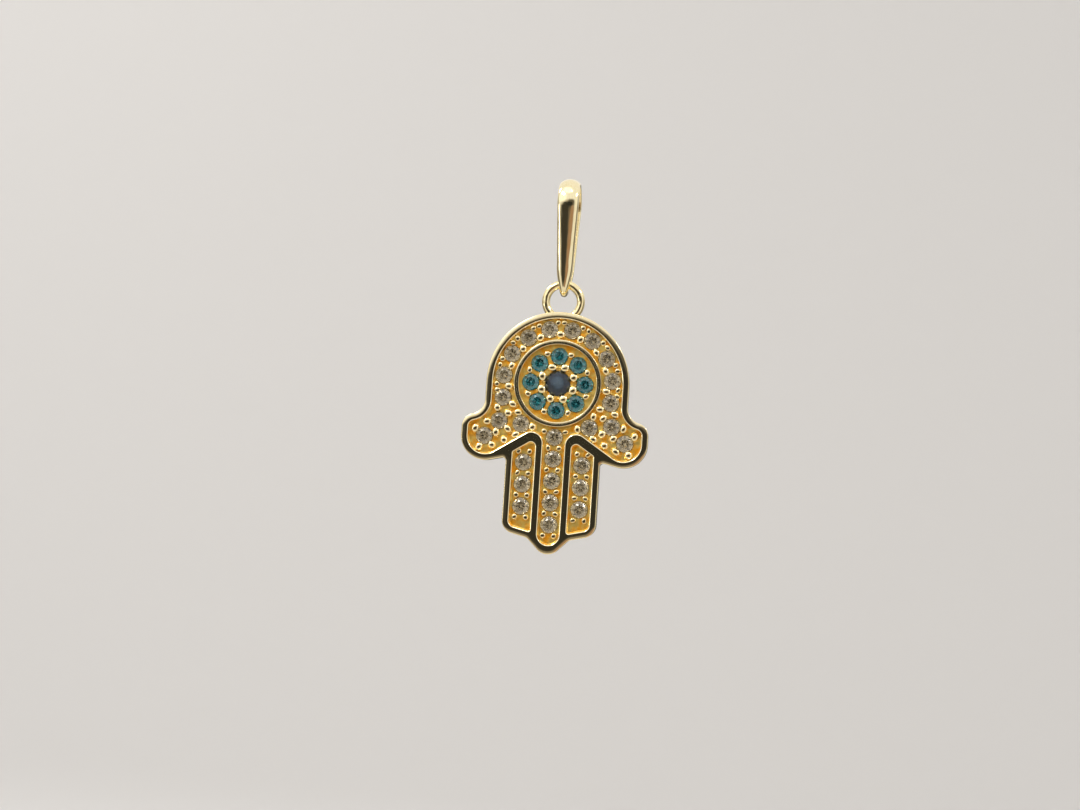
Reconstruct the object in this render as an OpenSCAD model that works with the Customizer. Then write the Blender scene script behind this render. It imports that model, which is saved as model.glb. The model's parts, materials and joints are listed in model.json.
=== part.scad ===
// Hamsa pendant: a cast gold hand with a raised rim, an eye of coloured stones in a raised
// ring, rows of white stones between bead grains, a soldered ring and a tapered bail.
// Millimetres. X to the right, the front faces -Y, Z up. The origin is the inner top of the
// bail, where it hangs on a chain.

/* [Palm] */
// Outer radius of the arched top
arch_r = 4.25; // [4.1:0.05:4.5]
// Straight run of the palm's sides below the arch
palm_side = 1.2; // [1:0.05:1.35]
// Thickness of the hand from its back to the top of the rims
plate_t = 1.2; // [1:0.05:1.6]
// Depth of the fields below the top of the rims
field_depth = 0.3; // [0.2:0.02:0.34]
// Width of the raised rims
rim_w = 0.36; // [0.3:0.01:0.4]

/* [Thumbs] */
// Distance from the middle of the hand to the outside of each thumb
thumb_reach = 5.55; // [5.4:0.05:5.9]
// Radius of the hollow between the palm and each thumb
thumb_hollow_r = 0.91; // [0.7:0.01:1]
// Slope of each thumb's shoulder, in degrees
thumb_shoulder_slope = 16.3; // [10:0.1:22]
// Radius of each thumb's shoulder
thumb_shoulder_r = 0.78; // [0.6:0.01:0.9]
// Radius of each thumb's round end
thumb_r = 1.45; // [1.3:0.01:1.5]
// Slope of each thumb's underside, in degrees
thumb_underside_slope = 13; // [8:0.5:16]
// Distance from the eye's centre down to where the thumbs meet the fingers
thumb_root_drop = 4.53; // [4.4:0.01:4.8]
// Radius of the corner between thumb and fingers
thumb_root_r = 0.2; // [0.1:0.01:0.3]

/* [Fingers] */
// Distance from the middle of the hand to the outer side of the fingers
fingers_reach = 2.79; // [2.7:0.01:2.95]
// Distance from the eye's centre down to the end of the outer fingers
outer_finger_drop = 8.86; // [8.3:0.01:9.3]
// Radius of the outer fingers' lower corners
outer_finger_r = 0.8; // [0.6:0.01:0.9]
// Slope of the outer fingers' ends, in degrees
finger_end_slope = 13.5; // [10:0.1:16]
// Length of the middle finger past the outer fingers
middle_finger_lead = 1.26; // [1.1:0.01:1.5]
// Radius of the middle finger's tip
middle_finger_r = 0.85; // [0.75:0.01:0.95]
// Radius of the hollow beside the middle finger's tip
tip_hollow_r = 0.45; // [0.3:0.01:0.6]
// Width of the middle finger's channel
channel_w = 1.38; // [1.3:0.01:1.42]
// Width of the walls between the fingers
finger_wall_w = 0.35; // [0.28:0.01:0.38]
// Width of the rim below the middle finger's channel
channel_end_w = 0.51; // [0.4:0.01:0.6]

/* [Webs] */
// Slope of the palm field's lower edges, in degrees
web_slope = 33; // [30:0.5:35]
// Distance from the eye's centre down to where those edges would reach the channel
web_drop = 2.44; // [2.3:0.01:2.5]
// Radius of the webs' rounded tops
web_r = 0.65; // [0.5:0.01:0.7]
// Width of the webs above the outer fingers' fields
web_w = 0.52; // [0.45:0.01:0.6]
// Radius of an outer field's upper inner corner
field_peak_r = 0.3; // [0.2:0.01:0.35]
// Radius of an outer field's other corners
field_corner_r = 0.16; // [0.1:0.01:0.25]

/* [Eye] */
// Outer radius of the raised ring round the eye
eye_ring_r = 2.6; // [2.5:0.01:2.65]
// Width of that ring
eye_ring_w = 0.29; // [0.24:0.01:0.34]
// Height of the rounded top of that ring
eye_ring_dome = 0.08; // [0.04:0.01:0.12]

/* [Stones] */
// Diameter of a white stone
white_d = 1; // [0.9:0.01:1.05]
// Diameter of a blue stone
blue_d = 1; // [0.9:0.01:1.05]
// Diameter of the centre stone
pupil_d = 1.5; // [1.4:0.01:1.6]
// Clearance between a stone and its seat
seat_gap = 0.02; // [0.015:0.005:0.03]
// Height of a small stone's girdle above its field
girdle_rise = 0.03; // [0.01:0.01:0.05]
// Depth of the centre stone's girdle below its field
pupil_sink = 0.05; // [0:0.01:0.1]
// Angle between neighbouring stones along the arch, in degrees
arch_pitch = 24.1; // [23:0.1:24.6]
// Distance from a blue stone's edge to the eye ring
blue_edge_gap = 0.19; // [0.15:0.01:0.22]
// Distance from the eye's centre down to the palm's side stones
side_stone_drop = 1; // [0.95:0.01:1.1]
// Distance of those stones inwards from the middle of the arch's row
side_stone_in = 0.04; // [0:0.01:0.08]
// Distance of the fork's stones inwards from halfway between side and thumb stones
fork_stone_in = 0.34; // [0.28:0.01:0.4]
// Distance of the fork's stones below that place
fork_stone_drop = 0.23; // [0.18:0.01:0.28]
// Distance of the thumb's stones outwards from the middle of the thumb's round end
thumb_stone_out = 0.08; // [0:0.01:0.1]
// Angle from the top of the eye to each stone beside the webs, in degrees
web_stone_angle = 141.3; // [140:0.1:143]
// Distance from the eye ring's edge to the first stone of the middle finger
first_stone_gap = 0.1; // [0.06:0.01:0.2]
// Distance from the middle finger's last stone to the end of its channel
channel_stone_gap = 0.73; // [0.65:0.01:0.85]
// Distance from an outer finger's first stone to the top of its field
outer_first_gap = 0.54; // [0.5:0.01:0.65]
// Distance from an outer finger's last stone to the end of its field
outer_last_gap = 0.86; // [0.8:0.01:0.95]

/* [Grains] */
// Diameter of the large grains round the centre stone
pupil_grain_d = 0.52; // [0.4:0.01:0.54]
// Diameter of the grains between the blue stones and the eye ring
eye_grain_d = 0.36; // [0.3:0.01:0.4]
// Diameter of the palm's grains
palm_grain_d = 0.46; // [0.36:0.01:0.48]
// Diameter of the small grains along the rims and the fingers
small_grain_d = 0.32; // [0.26:0.01:0.36]
// Distance from a stone's edge to the middle of the grain that holds it
grain_reach = 0.21; // [0.18:0.01:0.23]
// Distance from the middle of the blue row out to the grains beside it
eye_grain_out = 0.24; // [0.2:0.01:0.26]
// Distance from the rim to the pairs of small grains along the arch
rim_grain_gap = 0.28; // [0.24:0.01:0.32]
// Distance from the eye ring to the arch's inner grains
ring_grain_gap = 0.33; // [0.28:0.01:0.36]
// Distance between the two grains of a pair along the arch
arch_grain_pitch = 0.38; // [0.36:0.01:0.42]
// Distance between the two grains of a pair across a finger
finger_grain_pitch = 0.65; // [0.6:0.01:0.7]
// Distance of the loose grain below the fork's stone
loose_grain_drop = 1.13; // [1.05:0.01:1.15]
// Distance of the loose grain inwards from the fork's stone
loose_grain_in = 0.36; // [0.3:0.01:0.42]

/* [Ring] */
// Radius of the ring's hole
ring_hole_r = 0.8; // [0.75:0.01:0.9]
// Diameter of the ring's wire
ring_wire_d = 0.49; // [0.42:0.01:0.52]
// Depth of the ring's hole below the top of the hand, where it is soldered in
ring_sink = 0.11; // [0.05:0.01:0.2]

/* [Bail] */
// Height of the bail
bail_h = 7.1; // [6.4:0.1:8.5]
// Width of the bail at its top
bail_w = 1.28; // [1.1:0.01:1.5]
// Width of the bail where its point begins
bail_waist_w = 0.94; // [0.8:0.01:1]
// Height of that place above the middle of the ring's wire
bail_waist_rise = 0.5; // [0.4:0.01:0.8]
// Width of the bail's tip, before its corners are rounded
bail_tip_w = 0.3; // [0.2:0.01:0.5]
// Depth of the bail from front to back at its top
bail_depth = 3.2; // [2.8:0.05:3.8]
// Thickness of the bail's band
bail_wall = 0.35; // [0.28:0.01:0.42]
// Thickness of the bail's point under the ring's wire
bail_point_wall = 0.41; // [0.3:0.01:0.44]
// Clearance between the ring's wire and the bail
bail_gap = 0.125; // [0.1:0.005:0.15]

/* [Hidden] */
$fn = 48;
// Degrees of turn in one straight step of a rounded corner
ARC_STEP = 7.5;
// The tightest corner, and the distance below which two points of an outline are one
TIGHTEST_R = 0.02;
SAME_POINT = 0.001;
// Shares of a brilliant's diameter: table radius, star radius, lower facet radius
TABLE_SHARE = 0.285;
STAR_SHARE = 0.4;
LOWER_SHARE = 0.11;
// Shares of a brilliant's diameter: crown height, girdle height, pavilion depth
CROWN_SHARE = 0.16;
GIRDLE_SHARE = 0.03;
PAVILION_SHARE = 0.43;
// How far a cut runs past the face that it opens
CUT_OVER = 0.5;
// Stones and grains in each row
ARCH_PAIRS = 4;
BLUE_COUNT = 8;
CHANNEL_COUNT = 5;
OUTER_COUNT = 3;

gold = "#e3bd62";
white = "#d9dbdc";
teal = "#1c6f7c";
navy = "#1d2338";

// Depths along Y: the hand is centred on the ring's wire
front_y = -plate_t / 2;
back_y = plate_t / 2;
field_y = front_y + field_depth;

// Heights from the eye's centre
ring_z = arch_r + ring_hole_r - ring_sink;
hinge_z = ring_z + ring_hole_r + ring_wire_d / 2;

// Heights from the bail's inner top, which is the origin
bail_point_in = ring_wire_d / 2 + bail_gap;
bail_point_out = bail_point_in + bail_point_wall;
bail_hinge_z = bail_wall + bail_point_out - bail_h;
eye_z = bail_hinge_z - hinge_z;

// Unit vector along a side of a closed outline
function along(p, q) = (q - p) / norm(q - p);
// The outline runs clockwise, so its inside is on the right of each side
function inward(u) = [u.y, -u.x];
function turn(u, w) = atan2(u.x * w.y - u.y * w.x, u * w);
function corner(table, i) = let (n = len(table), r = table[(i + n) % n]) [r.x, r.y];
function side(table, i) = along(corner(table, i), corner(table, i + 1));

// A corner table holds [x, z, radius] for each corner. Moving the outline inwards by d keeps
// every side parallel, tightens the outer corners and widens the inner ones.
function inset(table, d) = [
    for (i = [0 : len(table) - 1])
        let (
            u = side(table, i - 1),
            w = side(table, i),
            n = inward(u) + inward(w),
            p = corner(table, i) + n * d / (1 + inward(u) * inward(w)),
            outer = turn(u, w) < 0
        )
        [p.x, p.y, max(TIGHTEST_R, table[i][2] + (outer ? -d : d))]
];

function arc_points(p, r, u, w) =
    let (
        t = turn(u, w),
        steps = max(2, ceil(abs(t) / ARC_STEP)),
        start = p - u * r * tan(abs(t) / 2),
        hand = t < 0 ? 1 : -1,
        centre = start + inward(u) * r * hand
    )
    [
        for (k = [0 : steps])
            let (a = t * k / steps, v = start - centre)
            centre + [v.x * cos(a) - v.y * sin(a), v.x * sin(a) + v.y * cos(a)]
    ];

function rounded(table) =
    let (
        raw = [
            for (i = [0 : len(table) - 1])
                each arc_points(corner(table, i), table[i][2], side(table, i - 1), side(table, i))
        ],
        n = len(raw)
    )
    [for (i = [0 : n - 1]) if (norm(raw[i] - raw[(i + n - 1) % n]) > SAME_POINT) raw[i]];

// The right half of a table runs from the top down, and its mirror image runs back up
function mirrored(half) = [
    each half,
    for (i = [len(half) - 1 : -1 : 0]) if (half[i].x > 0) [-half[i].x, half[i].y, half[i][2]]
];

// The corner where the shoulder of the thumb would meet the palm's side
hollow_z = -palm_side - thumb_hollow_r * tan((90 - thumb_shoulder_slope) / 2);
shoulder_z = hollow_z - (thumb_reach - arch_r) * tan(thumb_shoulder_slope);
underside_z = -thumb_root_drop - (thumb_reach - fingers_reach) * tan(thumb_underside_slope);
thumb_centre = [
    thumb_reach - thumb_r,
    underside_z + thumb_r * tan((90 + thumb_underside_slope) / 2)
];

// The lowest corner of the middle finger, and where its sides leave the outer fingers' ends
tip_drop = outer_finger_drop + middle_finger_lead;
point_z = -tip_drop - middle_finger_r * (sqrt(2) - 1);
end_rise = tan(finger_end_slope);
tip_hollow_x = (-outer_finger_drop - point_z - fingers_reach * end_rise) / (1 - end_rise);

outer_half = [
    [arch_r, arch_r, arch_r],
    [arch_r, hollow_z, thumb_hollow_r],
    [thumb_reach, shoulder_z, thumb_shoulder_r],
    [thumb_reach, underside_z, thumb_r],
    [fingers_reach, -thumb_root_drop, thumb_root_r],
    [fingers_reach, -outer_finger_drop, outer_finger_r],
    [tip_hollow_x, point_z + tip_hollow_x, tip_hollow_r],
    [0, point_z, middle_finger_r]
];
outer_table = mirrored(outer_half);

// The palm's field follows the outer outline down to the thumbs, and runs on into the channel
palm_inset = inset(outer_table, rim_w);
channel_x = channel_w / 2;
web_rise = tan(web_slope);
channel_end = tip_drop - channel_end_w;
palm_half = [
    palm_inset[0],
    palm_inset[1],
    palm_inset[2],
    [
        thumb_reach - rim_w,
        -web_drop - (thumb_reach - rim_w - channel_x) * web_rise,
        thumb_r - rim_w
    ],
    [channel_x, -web_drop, web_r],
    [channel_x, -channel_end, channel_x]
];
palm_table = mirrored(palm_half);

// The outer finger's field lies between the channel's wall and the outer rim
field_in = channel_x + finger_wall_w;
field_out = fingers_reach - rim_w;
function web_under(x) = -web_drop - (x - channel_x) * web_rise - web_w / cos(web_slope);
function end_over(x) =
    -outer_finger_drop - (fingers_reach - x) * end_rise + rim_w / cos(finger_end_slope);
finger_table = [
    [field_in, web_under(field_in), field_peak_r],
    [field_out, web_under(field_out), field_corner_r],
    [field_out, end_over(field_out), outer_finger_r - rim_w],
    [field_in, end_over(field_in), field_corner_r]
];
field_x = (field_in + field_out) / 2;

// Places of the stones from the eye's centre, as [x, z]
function polar(r, a) = [r * sin(a), r * cos(a)];
function both(p) = [[-p.x, p.y], p];

arch_row_r = (eye_ring_r + arch_r - rim_w) / 2;
side_stone = [arch_row_r - side_stone_in, -side_stone_drop];
thumb_stone = thumb_centre + [thumb_stone_out, 0];
fork_stone = (side_stone + thumb_stone) / 2 - [fork_stone_in, fork_stone_drop];
web_stone = polar(arch_row_r, web_stone_angle);

channel_first = eye_ring_r + first_stone_gap + white_d / 2;
channel_last = channel_end - channel_stone_gap - white_d / 2;
channel_pitch = (channel_last - channel_first) / (CHANNEL_COUNT - 1);
outer_first = -web_under(field_x) + outer_first_gap + white_d / 2;
outer_last = -end_over(field_x) - outer_last_gap - white_d / 2;
outer_pitch = (outer_last - outer_first) / (OUTER_COUNT - 1);

white_places = [
    for (k = [0 : ARCH_PAIRS - 1]) each both(polar(arch_row_r, (k + 0.5) * arch_pitch)),
    each both(side_stone),
    each both(fork_stone),
    each both(web_stone),
    each both(thumb_stone),
    for (k = [0 : CHANNEL_COUNT - 1]) [0, -channel_first - k * channel_pitch],
    for (k = [0 : OUTER_COUNT - 1]) each both([field_x, -outer_first - k * outer_pitch])
];

blue_row_r = eye_ring_r - eye_ring_w - blue_edge_gap - blue_d / 2;
blue_places = [for (k = [0 : BLUE_COUNT - 1]) polar(blue_row_r, k * 360 / BLUE_COUNT)];

// Places of the grains, as [x, z, diameter]
function grain(p, d) = [p.x, p.y, d];
function mirror_grain(p, d) = [grain(p, d), grain([-p.x, p.y], d)];
function grain_by(stone, a, d) =
    stone + (white_d / 2 + grain_reach) * [cos(a), sin(a)];

// The grains round each stone of the palm's right half, as angles anticlockwise from the right
fork_grain_angles = [137.5, -7, -78, -140];
web_grain_angles = [73, -170, -66];
thumb_grain_angles = [37, -68, -134];
side_grain_angles = [-65, -148];
channel_grain_angle = 28;
loose_grain = fork_stone - [loose_grain_in, loose_grain_drop];

eye_grains = [
    for (k = [0 : BLUE_COUNT - 1])
        let (a = (k + 0.5) * 360 / BLUE_COUNT)
        each [
            grain(polar(pupil_d / 2 + pupil_grain_d / 2, a), pupil_grain_d),
            grain(polar(blue_row_r + eye_grain_out, a), eye_grain_d)
        ]
];

arch_grains = [
    for (k = [-ARCH_PAIRS : ARCH_PAIRS])
        let (
            a = k * arch_pitch,
            outer = polar(arch_r - rim_w - rim_grain_gap, a),
            step = arch_grain_pitch / 2 * [cos(a), -sin(a)]
        )
        each [
            grain(outer + step, small_grain_d),
            grain(outer - step, small_grain_d),
            grain(polar(eye_ring_r + ring_grain_gap, a), palm_grain_d)
        ]
];

palm_grains = [
    for (a = side_grain_angles) each mirror_grain(grain_by(side_stone, a), palm_grain_d),
    for (a = fork_grain_angles) each mirror_grain(grain_by(fork_stone, a), palm_grain_d),
    for (a = web_grain_angles) each mirror_grain(grain_by(web_stone, a), palm_grain_d),
    for (a = thumb_grain_angles) each mirror_grain(grain_by(thumb_stone, a), palm_grain_d),
    each mirror_grain(loose_grain, palm_grain_d),
    each mirror_grain(grain_by([0, -channel_first], channel_grain_angle), small_grain_d)
];

half_pair = finger_grain_pitch / 2;
finger_grains = [
    for (k = [0 : CHANNEL_COUNT - 1])
        each mirror_grain([half_pair, -channel_first - (k + 0.5) * channel_pitch], small_grain_d),
    for (k = [-1 : OUTER_COUNT - 1], s = [-1, 1])
        each mirror_grain(
            [field_x + s * half_pair, -outer_first - (k + 0.5) * outer_pitch],
            small_grain_d
        )
];

grains = concat(eye_grains, arch_grains, palm_grains, finger_grains);

function number(k) = str(k < 9 ? "0" : "", k + 1);
function white_name(k) = str("white_stone_", number(k));
function blue_name(k) = str("blue_stone_", number(k));

// Draws a flat shape in the XZ plane, solid from depth y_front to depth y_back
module slab(y_front, y_back) {
    translate([0, y_back, 0]) rotate([90, 0, 0]) linear_extrude(y_back - y_front) children();
}

// Turns a shape that faces +Z so that it faces the front, at a place in the hand
module facing(place, y) {
    translate([place.x, y, place.y]) rotate([90, 0, 0]) children();
}

module hand_plate() {
    difference() {
        slab(front_y, back_y) polygon(rounded(outer_table));
        slab(front_y - CUT_OVER, field_y) polygon(rounded(palm_table));
        for (s = [0, 1])
            mirror([s, 0, 0]) slab(front_y - CUT_OVER, field_y) polygon(rounded(finger_table));
    }
}

// The raised ring round the eye has a rounded top, and its foot is sunk into the field
module eye_ring() {
    foot = field_depth / 3;
    shoulder = field_depth - eye_ring_dome;
    half = eye_ring_w / 2;
    profile = [
        [-half, -foot],
        [half, -foot],
        for (a = [0 : 22.5 : 180]) [half * cos(a), shoulder + eye_ring_dome * sin(a)]
    ];
    facing([0, 0], field_y)
        rotate_extrude() translate([eye_ring_r - half, 0]) polygon(profile);
}

module soldered_ring() {
    translate([0, 0, ring_z]) rotate([90, 0, 0])
        rotate_extrude() translate([ring_hole_r + ring_wire_d / 2, 0]) circle(d = ring_wire_d);
}

// A seat is a straight bore over the girdle and a cone under it
module seat(d, girdle_y) {
    r = d / 2 + seat_gap;
    deep = PAVILION_SHARE * d + seat_gap;
    rotate([-90, 0, 0]) {
        translate([0, 0, front_y - CUT_OVER])
            cylinder(r = r, h = girdle_y + seat_gap - front_y + CUT_OVER);
        translate([0, 0, girdle_y + seat_gap]) cylinder(r1 = r, r2 = seat_gap, h = deep);
    }
}

small_girdle_y = field_y - girdle_rise;
pupil_girdle_y = field_y + pupil_sink;

module hand() {
    color(gold) translate([0, 0, eye_z]) difference() {
        union() {
            hand_plate();
            eye_ring();
            soldered_ring();
            for (g = grains) translate([g.x, field_y, g.y]) rotate([90, 0, 0]) sphere(d = g[2]);
        }
        for (p = white_places) translate([p.x, 0, p.y]) seat(white_d, small_girdle_y);
        for (p = blue_places) translate([p.x, 0, p.y]) seat(blue_d, small_girdle_y);
        seat(pupil_d, pupil_girdle_y);
    }
}

// A round brilliant, its girdle's lower edge on z = 0 and its table up
module brilliant(d) {
    r = d / 2;
    table_r = TABLE_SHARE * d;
    star_r = STAR_SHARE * d;
    lower_r = LOWER_SHARE * d;
    girdle_h = GIRDLE_SHARE * d;
    crown_h = CROWN_SHARE * d;
    deep = PAVILION_SHARE * d;
    star_h = girdle_h + crown_h * (r - star_r * cos(22.5)) / (r - table_r);
    lower_h = -deep * (r - lower_r * cos(22.5)) / r;
    at = function (radius, a, h) [radius * cos(a), radius * sin(a), h];
    points = [
        for (k = [0 : 7]) at(table_r, 45 * k, girdle_h + crown_h),
        for (k = [0 : 7]) at(star_r, 45 * k + 22.5, star_h),
        for (k = [0 : 15]) at(r, 22.5 * k, girdle_h),
        for (k = [0 : 15]) at(r, 22.5 * k, 0),
        for (k = [0 : 7]) at(lower_r, 45 * k + 22.5, lower_h),
        [0, 0, -deep]
    ];
    star = 8;
    upper = 16;
    lower = 32;
    main = 48;
    culet = 56;
    faces = [
        [for (k = [7 : -1 : 0]) k],
        for (k = [0 : 7])
            let (next = (k + 1) % 8, last = (k + 7) % 8, g = 2 * k, mid = g + 1, far = (g + 2) % 16)
            each [
                [k, next, star + k],
                [k, star + k, upper + g, star + last],
                [star + k, upper + mid, upper + g],
                [star + k, upper + far, upper + mid],
                [upper + g, upper + mid, lower + mid, lower + g],
                [upper + mid, upper + far, lower + far, lower + mid],
                [lower + g, lower + mid, main + k],
                [lower + mid, lower + far, main + k],
                [culet, main + last, lower + g, main + k]
            ]
    ];
    polyhedron(points, faces, convexity = 2);
}

module stone(place, d, girdle_y) {
    translate([0, 0, eye_z]) facing(place, girdle_y) brilliant(d);
}

module white_stone(k) {
    color(white) stone(white_places[k], white_d, small_girdle_y);
}

module blue_stone(k) {
    color(teal) stone(blue_places[k], blue_d, small_girdle_y);
}

module centre_stone() {
    color(navy) stone([0, 0], pupil_d, pupil_girdle_y);
}

// The bail is a teardrop band seen from the side, cut to a tapered front with a point below
module bail() {
    top_r = bail_depth / 2;
    top_z = bail_wall - top_r;
    // The straight legs touch both round ends, so they lean out by this angle
    lean = asin((top_r - bail_point_out) / (top_z - bail_hinge_z));
    function teardrop(big, small) = [
        for (a = [-lean : (180 + 2 * lean) / 36 : 180 + lean + 0.01])
            [big * cos(a), top_z + big * sin(a)],
        for (a = [180 + lean : (180 - 2 * lean) / 18 : 360 - lean + 0.01])
            [small * cos(a), bail_hinge_z + small * sin(a)]
    ];
    front = mirrored([
        [bail_w / 2, bail_wall, bail_w / 4],
        [bail_w / 2, top_z, bail_depth / 2],
        [bail_waist_w / 2, bail_hinge_z + bail_waist_rise, bail_waist_w / 3],
        [bail_tip_w / 2, bail_hinge_z - bail_point_out, bail_tip_w * 2 / 5]
    ]);
    color(gold) intersection() {
        rotate([90, 0, 90]) linear_extrude(2 * bail_w, center = true) difference() {
            polygon(teardrop(top_r, bail_point_out));
            polygon(teardrop(top_r - bail_wall, bail_point_in));
        }
        slab(-bail_depth, bail_depth) polygon(rounded(front));
    }
}

hand();
bail();
centre_stone();
for (k = [0 : len(blue_places) - 1])
    blue_stone(k);
for (k = [0 : len(white_places) - 1])
    white_stone(k);
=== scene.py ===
import json
import math
import random

import bmesh
import bpy
from mathutils import Matrix, Vector


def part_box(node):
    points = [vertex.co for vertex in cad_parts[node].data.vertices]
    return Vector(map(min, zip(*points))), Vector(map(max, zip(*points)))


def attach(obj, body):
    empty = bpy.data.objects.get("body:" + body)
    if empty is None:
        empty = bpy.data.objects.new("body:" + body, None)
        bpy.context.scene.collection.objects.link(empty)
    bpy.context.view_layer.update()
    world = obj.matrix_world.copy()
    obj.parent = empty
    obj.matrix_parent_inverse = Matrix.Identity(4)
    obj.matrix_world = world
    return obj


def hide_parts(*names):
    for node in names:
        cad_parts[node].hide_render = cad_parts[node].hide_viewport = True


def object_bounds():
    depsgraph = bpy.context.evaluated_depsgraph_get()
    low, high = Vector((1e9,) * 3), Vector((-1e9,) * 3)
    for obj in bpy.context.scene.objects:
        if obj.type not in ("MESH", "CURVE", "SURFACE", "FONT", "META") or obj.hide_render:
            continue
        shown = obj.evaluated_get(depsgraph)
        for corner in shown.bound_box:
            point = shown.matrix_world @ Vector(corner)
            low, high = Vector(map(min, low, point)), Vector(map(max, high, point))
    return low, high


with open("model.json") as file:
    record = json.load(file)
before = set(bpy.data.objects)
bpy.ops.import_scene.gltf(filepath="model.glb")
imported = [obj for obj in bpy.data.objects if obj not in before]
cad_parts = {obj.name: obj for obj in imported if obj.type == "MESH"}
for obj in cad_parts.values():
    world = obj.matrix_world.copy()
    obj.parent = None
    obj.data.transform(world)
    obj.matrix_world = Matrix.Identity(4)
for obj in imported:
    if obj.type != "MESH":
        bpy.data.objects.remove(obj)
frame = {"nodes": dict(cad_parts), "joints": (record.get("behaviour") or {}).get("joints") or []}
cad_low, cad_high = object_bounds()

# The hand's plate
# A cast gold plate with a flat back, whose polished rims stand up round sunk fields: one for the
# palm and the middle finger, and one for each outer finger. The fields keep the satin of the
# casting, and each stone has a cone-shaped seat drilled into them.

# Meshes are made in millimetres. A place in the hand is measured from the middle of the eye.
MM = 0.001
eye_low, eye_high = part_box("centre_stone")
eye = (eye_low + eye_high) / 2 / MM
plate_back, plate_front = 0.6, -0.6
field_y = -0.3
rim_w = 0.36

arch_r = 4.25
palm_side = 1.2
thumb_reach = 5.55
thumb_hollow_r = 0.91
thumb_shoulder_slope = math.radians(16.3)
thumb_shoulder_r = 0.78
thumb_r = 1.45
thumb_underside_slope = math.radians(13)
thumb_root_drop = 4.53
thumb_root_r = 0.2
fingers_reach = 2.79
outer_finger_drop = 8.86
outer_finger_r = 0.8
finger_end_slope = math.radians(13.5)
middle_finger_lead = 1.26
middle_finger_r = 0.85
tip_hollow_r = 0.45
channel_w = 1.38
channel_end_w = 0.51
finger_wall_w = 0.35
web_slope = math.radians(33)
web_drop = 2.44
web_r = 0.65
web_w = 0.52
field_peak_r = 0.3
field_corner_r = 0.16

# Degrees of turn in one straight step of an outline's corner, the tightest corner, and the
# distance under which two points of an outline are one
corner_step = 4.0
tightest_r = 0.015
same_place = 0.001


def direction(table, i):
    """The way along side i of a closed outline, which runs clockwise as seen from the front."""
    x0, z0, _ = table[i % len(table)]
    x1, z1, _ = table[(i + 1) % len(table)]
    return Vector((x1 - x0, z1 - z0)).normalized()


def inward(u):
    """The way into the outline from a side that runs along u."""
    return Vector((u.y, -u.x))


def turn(u, w):
    """The turn from one side to the next, which is negative at a corner that points out."""
    return math.atan2(u.x * w.y - u.y * w.x, u.dot(w))


def inset(table, d):
    """Moves an outline of [x, z, radius] corners inwards by d, with its sides kept parallel."""
    moved = []
    for i, (x, z, r) in enumerate(table):
        u, w = direction(table, i - 1), direction(table, i)
        p = Vector((x, z)) + (inward(u) + inward(w)) * d / (1 + inward(u).dot(inward(w)))
        moved.append((p.x, p.y, max(tightest_r, r - d if turn(u, w) < 0 else r + d)))
    return moved


def rounded(table):
    """The outline's points, with each corner as an arc of a fixed count of steps."""
    points = []
    for i, (x, z, r) in enumerate(table):
        u, w = direction(table, i - 1), direction(table, i)
        t = turn(u, w)
        steps = max(2, math.ceil(abs(math.degrees(t)) / corner_step))
        start = Vector((x, z)) - u * r * math.tan(abs(t) / 2)
        centre = start + inward(u) * (r if t < 0 else -r)
        for k in range(steps + 1):
            points.append(centre + Matrix.Rotation(t * k / steps, 2) @ (start - centre))
    return points


def mirrored(half):
    """The right half of an outline, and its mirror image from the bottom up."""
    return half + [(-x, z, r) for x, z, r in reversed(half) if x > 0]


hollow_z = -palm_side - thumb_hollow_r * math.tan((math.pi / 2 - thumb_shoulder_slope) / 2)
shoulder_z = hollow_z - (thumb_reach - arch_r) * math.tan(thumb_shoulder_slope)
underside_z = -thumb_root_drop - (thumb_reach - fingers_reach) * math.tan(thumb_underside_slope)
tip_drop = outer_finger_drop + middle_finger_lead
point_z = -tip_drop - middle_finger_r * (math.sqrt(2) - 1)
end_rise = math.tan(finger_end_slope)
tip_hollow_x = (-outer_finger_drop - point_z - fingers_reach * end_rise) / (1 - end_rise)
outer_table = mirrored([
    (arch_r, arch_r, arch_r),
    (arch_r, hollow_z, thumb_hollow_r),
    (thumb_reach, shoulder_z, thumb_shoulder_r),
    (thumb_reach, underside_z, thumb_r),
    (fingers_reach, -thumb_root_drop, thumb_root_r),
    (fingers_reach, -outer_finger_drop, outer_finger_r),
    (tip_hollow_x, point_z + tip_hollow_x, tip_hollow_r),
    (0, point_z, middle_finger_r),
])

web_rise = math.tan(web_slope)
channel_x = channel_w / 2
channel_end = tip_drop - channel_end_w
thumb_field_x = thumb_reach - rim_w
palm_table = mirrored(inset(outer_table, rim_w)[:3] + [
    (thumb_field_x, -web_drop - (thumb_field_x - channel_x) * web_rise, thumb_r - rim_w),
    (channel_x, -web_drop, web_r),
    (channel_x, -channel_end, channel_x),
])

field_in = channel_x + finger_wall_w
field_out = fingers_reach - rim_w


def web_under(x):
    """The height of the web's lower edge, where a finger's field begins."""
    return -web_drop - (x - channel_x) * web_rise - web_w / math.cos(web_slope)


def end_over(x):
    """The height where a finger's field ends, a rim's width over the finger's end."""
    return -outer_finger_drop - (fingers_reach - x) * end_rise + rim_w / math.cos(finger_end_slope)


finger_table = [
    (field_in, web_under(field_in), field_peak_r),
    (field_out, web_under(field_out), field_corner_r),
    (field_out, end_over(field_out), outer_finger_r - rim_w),
    (field_in, end_over(field_in), field_corner_r),
]
other_finger_table = [(-x, z, r) for x, z, r in reversed(finger_table)]

# The casting's finishes, in the order of its material slots
POLISHED, SATIN, GRAIN, BRUSHED = range(4)

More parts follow.
